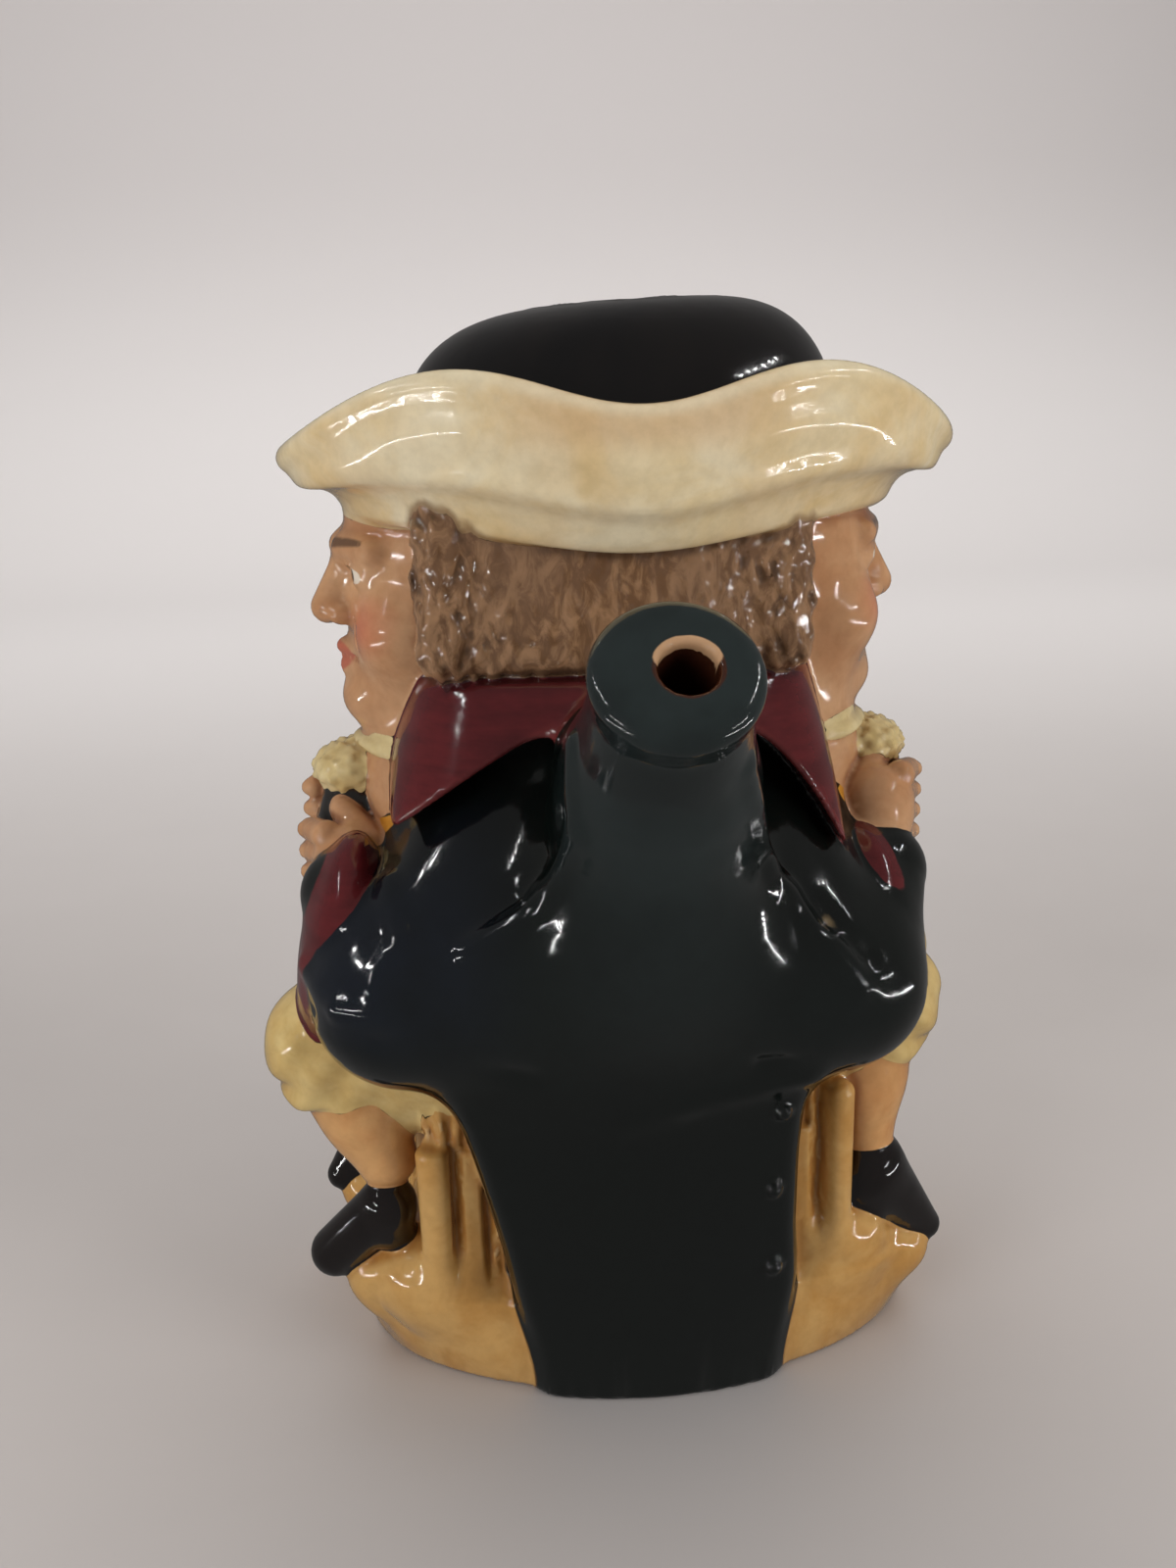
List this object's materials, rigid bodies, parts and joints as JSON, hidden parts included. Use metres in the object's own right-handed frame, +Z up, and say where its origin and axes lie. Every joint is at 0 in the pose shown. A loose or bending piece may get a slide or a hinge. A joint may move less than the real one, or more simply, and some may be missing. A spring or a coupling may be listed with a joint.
{
  "type": "toby teapot",
  "caption": "Glazed earthenware character teapot: seated figures back to back under one cocked hat, a spout between them, a loop handle behind and a lift-off crown lid.",
  "frame": {"origin": "middle of the flat foot, on the surface that the teapot stands on", "axes": "+Z up, -Y along the spout, +Y along the handle, -X and +X the ways that the figures face"},
  "size_m": [0.121, 0.1432, 0.175],
  "materials": {
    "painted_glaze": "gloss",
    "black_glaze": "gloss"
  },
  "bodies": {
    "root": {"pot": "painted_glaze", "lid": "black_glaze"}
  },
  "joints": []
}
